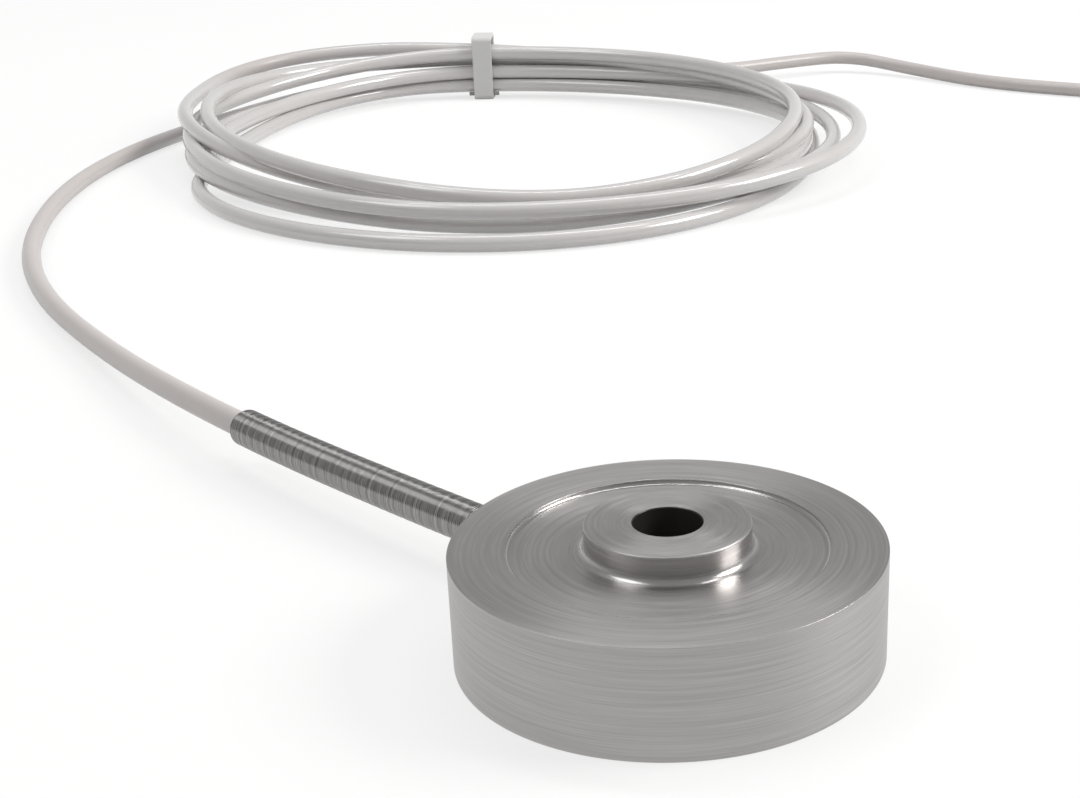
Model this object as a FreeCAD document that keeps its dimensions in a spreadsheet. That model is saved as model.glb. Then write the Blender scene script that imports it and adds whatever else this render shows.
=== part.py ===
import FreeCAD, Part
import math
import os
import Sketcher
from FreeCAD import Placement, Rotation, Vector

# Compression load cell: a turned steel disc with a raised load button on a
# membrane, strain gauges in the sealed ring chamber under it, and a fixed
# cable that leaves through a close-wound bend relief spring.
# Millimetres. The origin is on the disc's axis at its base, +Z is up.

SIZES = {
    # Turned steel body
    "outer_radius": 20.0,
    "body_height": 10.7,
    "recess_radius": 14.8,
    "recess_depth": 0.45,
    "recess_fillet": 0.35,
    "button_radius": 7.65,
    "button_top": 12.85,
    "button_fillet": 0.8,
    "bore_radius": 3.2,
    "edge_break": 0.15,
    "membrane_thickness": 1.9,
    "core_radius": 8.2,
    "core_lift": 0.35,
    "chamber_radius": 15.4,
    "board_seat_radius": 15.8,
    "board_seat_height": 3.1,
    "cover_seat_radius": 16.6,
    "cover_seat_height": 1.5,
    # Cable entry through the ring wall
    "exit_angle": 138.0,
    "exit_height": 4.84,
    "port_radius": 1.6,
    "spring_socket_radius": 2.3,
    "spring_socket_floor": 17.2,
    # Sealed chamber
    "cover_thickness": 0.8,
    "cover_fit": 0.05,
    "core_gap": 0.25,
    "seal_width": 0.9,
    "seal_height": 0.6,
    "seal_fit": 0.05,
    "board_thickness": 0.8,
    "board_inner_radius": 9.0,
    "board_fit": 0.1,
    "board_notch_start": 12.3,
    "board_notch_width": 4.8,
    "crimp_wall": 0.42,
    "crimp_length": 2.0,
    "crimp_start": 13.2,
    "crimp_fit": 0.02,
    # Bonded strain gauges
    "carrier_length": 5.4,
    "carrier_width": 3.9,
    "carrier_thickness": 0.1,
    "carrier_corner": 0.5,
    "carrier_middle": 11.9,
    "grid_length": 3.2,
    "grid_strip": 0.26,
    "grid_gap": 0.16,
    "grid_loop": 0.4,
    "grid_thickness": 0.06,
    "tab_length": 0.8,
    "tab_width": 0.9,
    "gauge_wire_radius": 0.12,
    "gauge_wire_bow": 0.5,
    "gauge_wire_gap": 0.05,
    # Parts soldered to the board
    "resistor_length": 1.6,
    "resistor_width": 0.85,
    "resistor_height": 0.5,
    "resistor_corner": 0.1,
    "resistor_place": 12.2,
    "resistor_spread": 24.0,
    "solder_base_radius": 0.52,
    "solder_top_radius": 0.38,
    "solder_height": 0.45,
    "core_wire_radius": 0.35,
    "core_wire_pitch": 0.9,
    "core_wire_gap": 0.25,
    # Bend relief spring
    "spring_radius": 2.2,
    "spring_wire": 0.5,
    "spring_end": 68.8,
    # Cable
    "cable_radius": 1.5,
    "jacket_end": 12.6,
    # Coil of cable, as its outer shape
    "coil_back": 273.6,
    "coil_back_depth": 6.4,
    "coil_outer_left": -101.6,
    "coil_outer_left_middle": 216.5,
    "coil_outer_right": 39.4,
    "coil_outer_right_middle": 199.5,
    "coil_outer_front": 134.4,
    "coil_inner_left": -83.4,
    "coil_inner_left_middle": 216.0,
    "coil_inner_right": 23.2,
    "coil_inner_right_middle": 211.0,
    "coil_inner_front": 166.6,
    "coil_front_middle": -31.6,
    "coil_back_height": 13.45,
    "coil_front_height": 6.6,
    # Coil tie
    "tie_middle": -43.1,
    "tie_width": 4.4,
    "tie_thickness": 0.85,
    "tie_corner": 1.1,
    "tie_fit": 0.1,
    "lock_pin_radius": 0.42,
    "lock_pin_length": 6.9,
    # Stripped far end
    "sleeve_length": 14.0,
    "sleeve_cap": 1.6,
    "sleeve_wall": 0.45,
    "sleeve_fit": 0.04,
    "end_lead_radius": 0.5,
    "end_lead_pitch": 1.42,
    "end_lead_gap": 0.05,
    "end_lead_length": 34.0,
    "end_lead_fan": 2.6,
    "screen_radius": 0.45,
    "floor_gap": 0.05,
}

GAUGE_COUNT = 4
RESISTOR_COUNT = 4
GRID_STRIPS = 6
CORE_COLOURS = ("red", "black", "green", "white")

# Corners of the cable's way over the ground, chosen by hand: from the spring's
# straight start to the coil, and from the coil's tie to the stripped end.
LEAD_POINTS = (
    Vector(-55.5, 53.8, 4.3),
    Vector(-76.6, 83.1, 2.1),
    Vector(-95.8, 113.0, 1.55),
    Vector(-107.6, 143.6, 1.55),
    Vector(-113.0, 180.9, 1.55),
    Vector(-109.7, 213.3, 1.55),
    Vector(-98.0, 239.5, 1.6),
    Vector(-73.0, 263.5, 2.0),
)
SPRING_CORNER = 43.9

TAIL_POINTS = (
    Vector(-30.0, 275.0, 9.5),
    Vector(-5.0, 281.5, 7.2),
    Vector(22.0, 291.0, 5.0),
    Vector(45.0, 299.5, 3.2),
    Vector(60.0, 289.5, 1.8),
    Vector(74.0, 272.5, 1.55),
    Vector(95.0, 259.5, 1.55),
    Vector(120.0, 249.0, 1.55),
    Vector(139.0, 231.0, 1.55),
    Vector(149.0, 207.0, 1.55),
    Vector(151.5, 181.0, 1.6),
    Vector(150.0, 155.0, 2.1),
    Vector(146.5, 131.0, 2.15),
)

doc = FreeCAD.newDocument("load_cell")
sheet = doc.addObject("Spreadsheet::Sheet", "Sizes")
for row, (alias, number) in enumerate(SIZES.items(), start=1):
    sheet.set("A%d" % row, alias)
    sheet.set("B%d" % row, str(number))
    sheet.setAlias("B%d" % row, alias)
doc.recompute()

nodes = []


def size(text):
    """Number that an expression over the sheet's words stands for."""
    words = sorted(SIZES, key=len, reverse=True)
    bound = bind(text, words)
    result = sheet.evalExpression(bound)
    return float(getattr(result, "Value", result))


def bind(text, words=None):
    """The same expression with each size word pointing at the sheet."""
    for word in words or sorted(SIZES, key=len, reverse=True):
        text = replace_word(text, word)
    return text


def replace_word(text, word):
    """Put the sheet's name before each free-standing use of a word."""
    out = ""
    rest = text
    while word in rest:
        head, rest = rest.split(word, 1)
        before = head[-1:] if head else out[-1:]
        joined = before.isalnum() or before in ("_", ".") if before else False
        joined = joined or rest[:1].isalnum() or rest[:1] == "_"
        out += head + (word if joined else "Sizes." + word)
    return out + rest


def keep(item, label):
    """Give a sub-part its own name and put it on the list of pieces."""
    item.Label = label
    nodes.append(item)
    return item


def origin_plane(body, role):
    """One of a body's own origin planes or axes."""
    return next(f for f in body.Origin.OriginFeatures if f.Role == role)


def outline(body, name, role, corners):
    """Closed sketch of straight lines whose corners follow the sheet."""
    sketch = body.newObject("Sketcher::SketchObject", name)
    sketch.AttachmentSupport = [(origin_plane(body, role), "")]
    sketch.MapMode = "FlatFace"
    places = [Vector(size(a), size(b), 0) for a, b in corners]
    count = len(places)
    for index in range(count):
        line = Part.LineSegment(places[index], places[(index + 1) % count])
        sketch.addGeometry(line, False)
    for index in range(count):
        following = (index + 1) % count
        sketch.addConstraint(Sketcher.Constraint("Coincident", index, 2, following, 1))
    for index, (across, up) in enumerate(corners):
        place_corner(sketch, index, "DistanceX", across, places[index].x)
        place_corner(sketch, index, "DistanceY", up, places[index].y)
    return sketch


def place_corner(sketch, index, kind, text, number):
    """Tie one coordinate of a sketch corner to the sheet."""
    if abs(number) < 1e-9:
        axis = -2 if kind == "DistanceX" else -1
        sketch.addConstraint(Sketcher.Constraint("PointOnObject", index, 1, axis))
        return
    row = sketch.addConstraint(Sketcher.Constraint(kind, -1, 1, index, 1, number))
    sketch.setExpression("Constraints[%d]" % row, bind(text))


def turned(label, corners):
    """Body turned about the Z axis from its half section."""
    body = doc.addObject("PartDesign::Body", label)
    sketch = outline(body, label + "_section", "XZ_Plane", corners)
    turn = body.newObject("PartDesign::Revolution", label + "_turn")
    turn.Profile = sketch
    turn.ReferenceAxis = (sketch, ["V_Axis"])
    turn.Angle = 360.0
    doc.recompute()
    return keep(body, label)


def rims(shape, places):
    """Names of the circular edges about Z at the given radii and heights."""
    found = []
    for number, edge in enumerate(shape.Edges, start=1):
        curve = edge.Curve
        if not isinstance(curve, Part.Circle):
            continue
        for radius, height in places:
            level = abs(curve.Center.z - height) < 1e-6
            if level and abs(curve.Radius - radius) < 1e-6:
                found.append("Edge%d" % number)
    return found


def rounded(body, label, radius, places):
    """Fillet the circular edges at the given radii and heights."""
    base = body.Tip
    fillet = body.newObject("PartDesign::Fillet", label)
    fillet.Base = (base, rims(base.Shape, places))
    fillet.setExpression("Radius", bind(radius))
    doc.recompute()


def radial(distance, height, sideways=0.0, angle=None):
    """Point at a distance from the axis, along a heading, and sideways of it."""
    heading = math.radians(size("exit_angle") if angle is None else angle)
    along = Vector(math.cos(heading), math.sin(heading), 0)
    across = Vector(-math.sin(heading), math.cos(heading), 0)
    return along * distance + across * sideways + Vector(0, 0, height)


def bored_outwards(body, label, radius, start, finish):
    """Radial hole along the cable's exit, from one radius out to another."""
    heading = radial(1.0, 0.0)
    hole = body.newObject("PartDesign::SubtractiveCylinder", label)
    hole.setExpression("Radius", bind(radius))
    hole.setExpression("Height", bind("%s - (%s)" % (finish, start)))
    place = radial(size(start), size("exit_height"))
    hole.Placement = Placement(place, Rotation(Vector(0, 0, 1), heading))
    doc.recompute()


# Turned pieces


def make_sensor_body():
    floor = "body_height - recess_depth"
    roof = "body_height - recess_depth - membrane_thickness"
    body = turned("sensor_body", [
        ("bore_radius", "core_lift"),
        ("core_radius", "core_lift"),
        ("core_radius", roof),
        ("chamber_radius", roof),
        ("chamber_radius", "board_seat_height"),
        ("board_seat_radius", "board_seat_height"),
        ("board_seat_radius", "cover_seat_height"),
        ("cover_seat_radius", "cover_seat_height"),
        ("cover_seat_radius", "0"),
        ("outer_radius", "0"),
        ("outer_radius", "body_height"),
        ("recess_radius", "body_height"),
        ("recess_radius", floor),
        ("button_radius", floor),
        ("button_radius", "button_top"),
        ("bore_radius", "button_top"),
    ])
    face = size(floor)
    top = size("button_top")
    rounded(body, "button_root", "button_fillet", [(size("button_radius"), face)])
    rounded(body, "recess_root", "recess_fillet", [(size("recess_radius"), face)])
    rounded(body, "broken_edges", "edge_break", [
        (size("outer_radius"), size("body_height")),
        (size("outer_radius"), 0.0),
        (size("button_radius"), top),
        (size("bore_radius"), top),
        (size("bore_radius"), size("core_lift")),
    ])
    bored_outwards(body, "cable_port", "port_radius", "board_notch_start", "outer_radius")
    bored_outwards(body, "spring_socket", "spring_socket_radius", "spring_socket_floor",
                   "outer_radius + spring_socket_radius")


def make_base_cover():
    under = "cover_seat_height - cover_thickness"
    turned("base_cover", [
        ("core_radius + core_gap", under),
        ("cover_seat_radius - cover_fit", under),
        ("cover_seat_radius - cover_fit", "cover_seat_height"),
        ("core_radius + core_gap", "cover_seat_height"),
    ])


def make_seal_ring():
    turned("seal_ring", [
        ("core_radius + seal_fit", "cover_seat_height"),
        ("core_radius + seal_fit + seal_width", "cover_seat_height"),
        ("core_radius + seal_fit + 0.6 * seal_width", "cover_seat_height + seal_height"),
        ("core_radius + seal_fit", "cover_seat_height + seal_height"),
    ])


def make_circuit_board():
    under = "board_seat_height - board_thickness"
    body = turned("circuit_board", [
        ("board_inner_radius", under),
        ("board_seat_radius - board_fit", under),
        ("board_seat_radius - board_fit", "board_seat_height"),
        ("board_inner_radius", "board_seat_height"),
    ])
    notch = body.newObject("PartDesign::SubtractiveBox", "cable_notch")
    notch.setExpression("Length", bind("board_seat_radius - board_notch_start"))
    notch.setExpression("Width", bind("board_notch_width"))
    notch.setExpression("Height", bind("board_thickness"))
    corner = radial(size("board_notch_start"), size(under), -size("board_notch_width") / 2)
    turn = Rotation(Vector(0, 0, 1), size("exit_angle"))
    notch.Placement = Placement(corner, turn)
    doc.recompute()


def make_crimp_sleeve():
    body = turned("crimp_sleeve", [
        ("cable_radius + crimp_fit", "0"),
        ("cable_radius + crimp_fit + crimp_wall", "0"),
        ("cable_radius + crimp_fit + crimp_wall", "crimp_length"),
        ("cable_radius + crimp_fit", "crimp_length"),
    ])
    place = radial(size("crimp_start"), size("exit_height"))
    body.Placement = Placement(place, Rotation(Vector(0, 0, 1), radial(1.0, 0.0)))


# Bonded strain gauges


def gauge_angle(index):
    """Heading of a gauge: even steps that miss the cable port."""
    step = 360.0 / GAUGE_COUNT
    return size("exit_angle") + step * (index + 0.5)


def roof_height():
    return size("body_height - recess_depth - membrane_thickness")


def make_gauge_carrier(index):
    angle = gauge_angle(index)
    plate = doc.addObject("Part::Box", "carrier_plate_%d" % index)
    plate.setExpression("Length", bind("carrier_length"))
    plate.setExpression("Width", bind("carrier_width"))
    plate.setExpression("Height", bind("carrier_thickness"))
    doc.recompute()
    piece = doc.addObject("Part::Fillet", "gauge_carrier_%d" % (index + 1))
    piece.Base = plate
    corner = size("carrier_corner")
    upright = [n for n, e in enumerate(plate.Shape.Edges, start=1)
               if abs(e.tangentAt(e.FirstParameter).z) > 0.9]
    piece.Edges = [(number, corner, corner) for number in upright]
    place = radial(size("carrier_middle - carrier_length / 2"),
                   roof_height() - size("carrier_thickness"),
                   -size("carrier_width") / 2, angle)
    piece.Placement = Placement(place, Rotation(Vector(0, 0, 1), angle))
    keep(piece, "gauge_carrier_%d" % (index + 1))


def strip_left(strip):
    return "%d * (grid_strip + grid_gap)" % strip


def strip_right(strip):
    return strip_left(strip) + " + grid_strip"


def grid_corners():
    """Meander of a foil grid: strips side by side, both solder tabs at one end."""
    far = "tab_length + grid_length"
    near = "tab_length + grid_gap"
    last = GRID_STRIPS - 1
    corners = [("0", "0")]
    for strip in range(0, GRID_STRIPS, 2):
        corners.append((strip_left(strip), far))
        corners.append((strip_right(strip + 1), far))
        if strip + 1 < last:
            corners.append((strip_right(strip + 1), near + " + grid_loop"))
            corners.append((strip_left(strip + 2), near + " + grid_loop"))
    corners.append((strip_right(last), "0"))
    corners.append((strip_right(last) + " - tab_width", "0"))
    corners.append((strip_right(last) + " - tab_width", "tab_length"))
    corners.append((strip_left(last), "tab_length"))
    for strip in range(last - 1, -1, -2):
        corners.append((strip_left(strip + 1), far + " - grid_loop"))
        corners.append((strip_right(strip), far + " - grid_loop"))
        if strip > 0:
            corners.append((strip_right(strip), near))
            corners.append((strip_left(strip - 1), near))
    corners.append(("grid_strip", "tab_length"))
    corners.append(("tab_width", "tab_length"))
    corners.append(("tab_width", "0"))
    return corners


def make_gauge_grid(index):
    """Foil meander with two solder tabs, flat against its carrier."""
    angle = gauge_angle(index)
    label = "gauge_grid_%d" % (index + 1)
    body = doc.addObject("PartDesign::Body", label)
    sketch = outline(body, label + "_meander", "XY_Plane", grid_corners())
    foil = body.newObject("PartDesign::Pad", label + "_foil")
    foil.Profile = sketch
    foil.setExpression("Length", bind("grid_thickness"))
    doc.recompute()
    across = size(strip_right(GRID_STRIPS - 1))
    along = size("tab_length + grid_length")
    place = radial(size("carrier_middle") - along / 2,
                   roof_height() - size("carrier_thickness + grid_thickness"),
                   across / 2, angle)
    body.Placement = Placement(place, Rotation(Vector(0, 0, 1), angle - 90.0))
    keep(body, label)


# Routes of round wire and cable


def rounded_route(points, share=0.45):
    """Straight runs joined by tangent arcs, as a list of path pieces."""
    pieces = []
    start = points[0]
    for index in range(1, len(points) - 1):
        corner = points[index]
        before = corner - points[index - 1]
        after = points[index + 1] - corner
        reach = share * min(before.Length, after.Length)
        before.normalize()
        after.normalize()
        turn = before.getAngle(after)
        radius = reach / math.tan(turn / 2)
        inward = (after - before).normalize()
        centre = corner + inward * (radius / math.cos(turn / 2))
        first = corner - before * reach
        pieces.append(("run", start, first))
        pieces.append(("arc", first, centre, before.cross(after).normalize(), turn, radius))
        start = corner + after * reach
    pieces.append(("run", start, points[-1]))
    return pieces


def piece_length(piece):
    if piece[0] == "run":
        return (piece[2] - piece[1]).Length
    return piece[4] * piece[5]


def spin(vector, axis, angle):
    """Vector turned about an axis by an angle in radians."""
    return Rotation(axis, math.degrees(angle)).multVec(vector)


def place_on(piece, distance):
    """Point at a distance along one path piece."""
    if piece[0] == "run":
        way = piece[2] - piece[1]
        return piece[1] + way * (distance / way.Length)
    spoke = piece[1] - piece[2]
    return piece[2] + spin(spoke, piece[3], distance / piece[5])


def stretch(pieces, start, finish):
    """Wire of the part of a route between two distances along it."""
    edges = []
    walked = 0.0
    for piece in pieces:
        length = piece_length(piece)
        low = max(start - walked, 0.0)
        high = min(finish - walked, length)
        walked += length
        if high - low < 1e-6:
            continue
        first = place_on(piece, low)
        last = place_on(piece, high)
        if piece[0] == "run":
            edges.append(Part.LineSegment(first, last).toShape())
            continue
        middle = place_on(piece, (low + high) / 2)
        edges.append(Part.Arc(first, middle, last).toShape())
    return Part.Wire(edges)


def route_length(pieces):
    return sum(piece_length(piece) for piece in pieces)


def rod(wire, radius):
    """Round solid of one radius along a wire, checked against its volume."""
    edge = wire.OrderedEdges[0]
    first = edge.valueAt(edge.FirstParameter)
    heading = edge.tangentAt(edge.FirstParameter)
    ring = Part.Wire(Part.Circle(first, heading, radius).toShape())
    solid = wire.makePipeShell([ring], True, False)
    expected = math.pi * radius * radius * wire.Length
    if abs(solid.Volume - expected) > 0.01 * expected:
        raise ValueError("a tube's volume is not its section times its length")
    return solid


def set_shape(label, shape, place=None):
    """Sub-part whose shape no primitive or sketch gives."""
    item = doc.addObject("Part::Feature", label)
    item.Shape = shape
    if place:
        item.Placement = place
    return keep(item, label)


def print_radii(name, pieces):
    radii = ["%.1f" % piece[5] for piece in pieces if piece[0] == "arc"]
    print(name, "bend radii", " ".join(radii), "length %.1f" % route_length(pieces))


def middle_of(first, second):
    return (first + second) * 0.5


# Cable, its spring, and what is on it


def lead_points():
    inside = radial(size("jacket_end"), size("exit_height"))
    corner = radial(SPRING_CORNER, size("exit_height"))
    return [inside, corner] + list(LEAD_POINTS)


def lead_pieces():
    return rounded_route(lead_points())


def run_middle_length(points, pieces, corner):
    """Distance along a rounded route to the middle of the run before a corner."""
    target = middle_of(points[corner - 1], points[corner])
    walked = 0.0
    for piece in pieces:
        length = piece_length(piece)
        if piece[0] == "run":
            span = (target - piece[1]).Length
            way = (piece[2] - piece[1]).normalize()
            off_line = (target - piece[1] - way * span).Length
            if off_line < 1e-6 and span <= length + 1e-6:
                return walked + span
        walked += length
    raise ValueError("the run's middle is not on the route")


def make_cable_lead():
    pieces = lead_pieces()
    print_radii("cable_lead", pieces)
    finish = run_middle_length(lead_points(), pieces, len(lead_points()) - 2)
    solid = rod(stretch(pieces, 0.0, finish), size("cable_radius"))
    set_shape("cable_lead", solid)


def make_relief_spring():
    """Close-wound spring as its outer tube; its windings are too fine for a solid."""
    pieces = lead_pieces()
    start = size("spring_socket_floor") - size("jacket_end")
    finish = size("spring_end") - size("jacket_end")
    wire = stretch(pieces, start, finish)
    outside = rod(wire, size("spring_radius"))
    inside = rod(wire, size("spring_radius") - size("spring_wire"))
    set_shape("relief_spring", outside.cut(inside))


def quarter(first, second, centre):
    """Quarter ellipse between two extremes, on axes along X and Y."""
    across = max(abs(first.x - centre.x), abs(second.x - centre.x))
    along = max(abs(first.y - centre.y), abs(second.y - centre.y))
    steps = 2
    angle_first = math.atan2((first.y - centre.y) / along, (first.x - centre.x) / across)
    angle_last = math.atan2((second.y - centre.y) / along, (second.x - centre.x) / across)
    if angle_last - angle_first > math.pi:
        angle_last -= 2 * math.pi
    if angle_first - angle_last > math.pi:
        angle_last += 2 * math.pi
    ellipse_points = []
    for step in range(4 * steps + 1):
        angle = angle_first + (angle_last - angle_first) * step / (4 * steps)
        place = Vector(across * math.cos(angle), along * math.sin(angle), 0)
        ellipse_points.append(centre + place)
    curve = Part.BSplineCurve()
    starting = Vector(-across * math.sin(angle_first), along * math.cos(angle_first), 0)
    ending = Vector(-across * math.sin(angle_last), along * math.cos(angle_last), 0)
    if angle_last < angle_first:
        starting = starting * -1
        ending = ending * -1
    curve.interpolate(Points=ellipse_points, InitialTangent=starting.normalize(),
                      FinalTangent=ending.normalize())
    return curve.toShape()


def loop_face(back, left, left_middle, right, right_middle, front):
    """Face inside a loop of four quarter ellipses that meet at its extremes."""
    tie = size("tie_middle")
    bottom = size("coil_front_middle")
    places = {
        "back": Vector(tie, back, 0),
        "right": Vector(right, right_middle, 0),
        "front": Vector(bottom, front, 0),
        "left": Vector(left, left_middle, 0),
    }
    edges = [
        quarter(places["back"], places["right"], Vector(tie, right_middle, 0)),
        quarter(places["right"], places["front"], Vector(bottom, right_middle, 0)),
        quarter(places["front"], places["left"], Vector(bottom, left_middle, 0)),
        quarter(places["left"], places["back"], Vector(tie, left_middle, 0)),
    ]
    return Part.Face(Part.Wire(edges))


def make_cable_coil():
    """Coil as one closed ring, low at the front and stacked high at the tie."""
    half = size("coil_back_depth") / 2
    outer = loop_face(size("coil_back") + half, size("coil_outer_left"),
                      size("coil_outer_left_middle"), size("coil_outer_right"),
                      size("coil_outer_right_middle"), size("coil_outer_front"))
    inner = loop_face(size("coil_back") - half, size("coil_inner_left"),
                      size("coil_inner_left_middle"), size("coil_inner_right"),
                      size("coil_inner_right_middle"), size("coil_inner_front"))
    up = Vector(0, 0, 2 * size("coil_back_height"))
    ring = outer.extrude(up).cut(inner.extrude(up))
    box = ring.BoundBox
    back = size("coil_back")
    front = size("coil_outer_front")
    rise = size("coil_back_height") - size("coil_front_height")
    slope = rise / (back + half - front)
    margin = 5.0
    profile = []
    for along in (front - margin, box.YMax + margin):
        level = size("coil_front_height") + slope * (along - front)
        profile.append(Vector(box.XMin - margin, along, level))
    profile.append(Vector(box.XMin - margin, box.YMax + margin, 3 * up.z))
    profile.append(Vector(box.XMin - margin, front - margin, 3 * up.z))
    above = Part.Face(Part.makePolygon(profile + [profile[0]]))
    above = above.extrude(Vector(box.XLength + 2 * margin, 0, 0))
    ring = ring.cut(above)

    lead = lead_points()
    route = lead_pieces()
    entering = stretch(route, run_middle_length(lead, route, len(lead) - 2),
                       run_middle_length(lead, route, len(lead) - 1))
    tail = list(TAIL_POINTS)
    tail_route = rounded_route(tail)
    leaving = stretch(tail_route, 0.0, run_middle_length(tail, tail_route, 2))
    ring = ring.fuse([rod(entering, size("cable_radius")), rod(leaving, size("cable_radius"))])

    slot = size("tie_thickness") + size("floor_gap")
    wide = size("tie_width") + 4 * size("tie_fit")
    under_tie = Part.makeBox(wide, 2 * size("coil_back_depth"), slot,
                             Vector(size("tie_middle") - wide / 2,
                                    back - size("coil_back_depth"), 0))
    pin = 2 * (size("lock_pin_radius") + size("floor_gap"))
    long = size("lock_pin_length") + 4 * size("tie_fit")
    pin_room = Part.makeBox(long, pin + half, pin + slot,
                            Vector(size("tie_middle") - long / 2,
                                   back - half - size("tie_fit") - half, 0))
    ring = ring.cut([under_tie, pin_room]).removeSplitter()
    set_shape("cable_coil", ring)


def rod_between(label, radius, first, second):
    """Plain round bar between two points."""
    bar = doc.addObject("Part::Cylinder", label)
    bar.setExpression("Radius", bind(radius))
    bar.Height = (second - first).Length
    bar.Placement = Placement(first, Rotation(Vector(0, 0, 1), second - first))
    return bar


def rounded_box(name, length, width, height, corner, place):
    """Box with its edges along X rounded."""
    box = doc.addObject("Part::Box", name + "_block")
    box.setExpression("Length", bind(length))
    box.setExpression("Width", bind(width))
    box.setExpression("Height", bind(height))
    doc.recompute()
    radius = size(corner)
    lengthwise = [n for n, e in enumerate(box.Shape.Edges, start=1)
                  if abs(e.tangentAt(e.FirstParameter).x) > 0.9]
    fillet = doc.addObject("Part::Fillet", name)
    fillet.Base = box
    fillet.Edges = [(number, radius, radius) for number in lengthwise]
    fillet.Placement = Placement(place, Rotation())
    return fillet


def make_coil_tie():
    """Flat band closed round the stacked turns."""
    depth = "coil_back_depth + 2 * tie_fit"
    height = "coil_back_height + tie_fit"
    left = size("tie_middle - tie_width / 2")
    front = size("coil_back") - size(depth) / 2
    outside = rounded_box("tie_outside", "tie_width", depth + " + 2 * tie_thickness",
                          height + " + tie_thickness", "tie_corner",
                          Vector(left, front - size("tie_thickness"), 0))
    margin = 1.0
    inside = rounded_box("tie_inside", "tie_width + 2", depth,
                         height + " - tie_thickness", "tie_corner - tie_thickness",
                         Vector(left - margin, front, size("tie_thickness")))
    band = doc.addObject("Part::Cut", "coil_tie")
    band.Base = outside
    band.Tool = inside
    keep(band, "coil_tie")


def make_tie_lock_pin():
    front = size("coil_back - coil_back_depth / 2 - tie_fit + lock_pin_radius")
    level = size("tie_thickness + lock_pin_radius")
    half = size("lock_pin_length") / 2
    middle = size("tie_middle")
    pin = rod_between("tie_lock_pin", "lock_pin_radius", Vector(middle - half, front, level),
                      Vector(middle + half, front, level))
    keep(pin, "tie_lock_pin")


def make_cable_tail():
    points = list(TAIL_POINTS)
    pieces = rounded_route(points)
    print_radii("cable_tail", pieces)
    start = run_middle_length(points, pieces, 2)
    solid = rod(stretch(pieces, start, route_length(pieces)), size("cable_radius"))
    set_shape("cable_tail", solid)


def tail_heading():
    return (TAIL_POINTS[-1] - TAIL_POINTS[-2]).normalize()


def make_end_sleeve():
    """Shrunk sleeve over the cable's end, closed but for its conductors."""
    inner = "cable_radius + sleeve_fit"
    outer = "cable_radius + sleeve_fit + sleeve_wall"
    body = turned("end_sleeve", [
        ("0", "sleeve_length - sleeve_cap"),
        (inner, "sleeve_length - sleeve_cap"),
        (inner, "0"),
        (outer, "0"),
        (outer, "sleeve_length - sleeve_cap / 2"),
        (inner, "sleeve_length"),
        ("0", "sleeve_length"),
    ])
    start = TAIL_POINTS[-1] - tail_heading() * size("sleeve_length - sleeve_cap")
    body.Placement = Placement(start, Rotation(Vector(0, 0, 1), tail_heading()))


def make_end_lead(label, radius_name, column, row):
    """Loose conductor from the sleeve's end down to the ground."""
    along = tail_heading()
    across = Vector(0, 0, 1).cross(along).normalize()
    pitch = size("end_lead_pitch") / 2
    radius = size(radius_name)
    ground = radius + size("floor_gap")
    face = TAIL_POINTS[-1] + along * size("sleeve_cap + end_lead_gap")
    start = face + across * (column * pitch) + Vector(0, 0, row * pitch)
    length = size("end_lead_length")
    fan = size("end_lead_fan")
    level = Vector(1, 1, 0)
    spread = across * (fan * column * (1.6 if row > 0 else 0.7))
    knee = start + along * (0.2 * length)
    rest = start + along * (0.5 * length) + spread
    tip = start + along * length + spread * 2.4
    rest = Vector(rest.x * level.x, rest.y * level.y, ground)
    tip = Vector(tip.x * level.x, tip.y * level.y, ground)
    pieces = rounded_route([start, knee, rest, tip])
    set_shape(label, rod(stretch(pieces, 0.0, route_length(pieces)), radius))


# Parts soldered inside the chamber


def solder_spot(label, place):
    drop = doc.addObject("Part::Cone", label)
    drop.setExpression("Radius1", bind("solder_base_radius"))
    drop.setExpression("Radius2", bind("solder_top_radius"))
    drop.setExpression("Height", bind("solder_height"))
    drop.Placement = Placement(place, Rotation())
    keep(drop, label)


def make_core_wires():
    """Four conductors from the cable's end to their solder joints on the board."""
    pitch = size("core_wire_pitch") / 2
    start_at = size("jacket_end - core_wire_gap")
    board = size("board_seat_height")
    for index, colour in enumerate(CORE_COLOURS):
        side = -1 if index % 2 == 0 else 1
        upper = index > 1
        level = size("exit_height") + (pitch if upper else -pitch)
        pad_side = side * (2.1 if upper else 0.75)
        pad_at = size("board_inner_radius + 2 * solder_base_radius")
        pad_at += 0.0 if upper else 0.9
        start = radial(start_at, level, side * pitch)
        elbow = radial(pad_at, level, pad_side)
        end = radial(pad_at, board + size("solder_height"), pad_side)
        pieces = rounded_route([start, elbow, end])
        solid = rod(stretch(pieces, 0.0, route_length(pieces)), size("core_wire_radius"))
        set_shape("core_wire_" + colour, solid)
        solder_spot("solder_joint_%d" % (index + 1), radial(pad_at, board, pad_side))


def make_gauge_wires(index):
    """Two fine wires from a gauge's tabs down to the board, slightly bowed."""
    angle = gauge_angle(index)
    across = size(strip_right(GRID_STRIPS - 1))
    along = size("tab_length + grid_length")
    at = size("carrier_middle") - along / 2 + size("tab_length") / 3
    top = roof_height() - size("carrier_thickness + grid_thickness + gauge_wire_gap")
    board = size("board_seat_height + gauge_wire_gap")
    for side in (-1, 1):
        offset = side * (across / 2 - size("tab_width") / 3)
        bowed = radial(at + size("gauge_wire_bow"), (top + board) / 2, offset * 1.4, angle)
        points = [radial(at, top, offset, angle), bowed, radial(at, board, offset, angle)]
        pieces = rounded_route(points)
        solid = rod(stretch(pieces, 0.0, route_length(pieces)), size("gauge_wire_radius"))
        number = 2 * index + (1 if side < 0 else 2)
        set_shape("gauge_wire_%d" % number, solid)


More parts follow.
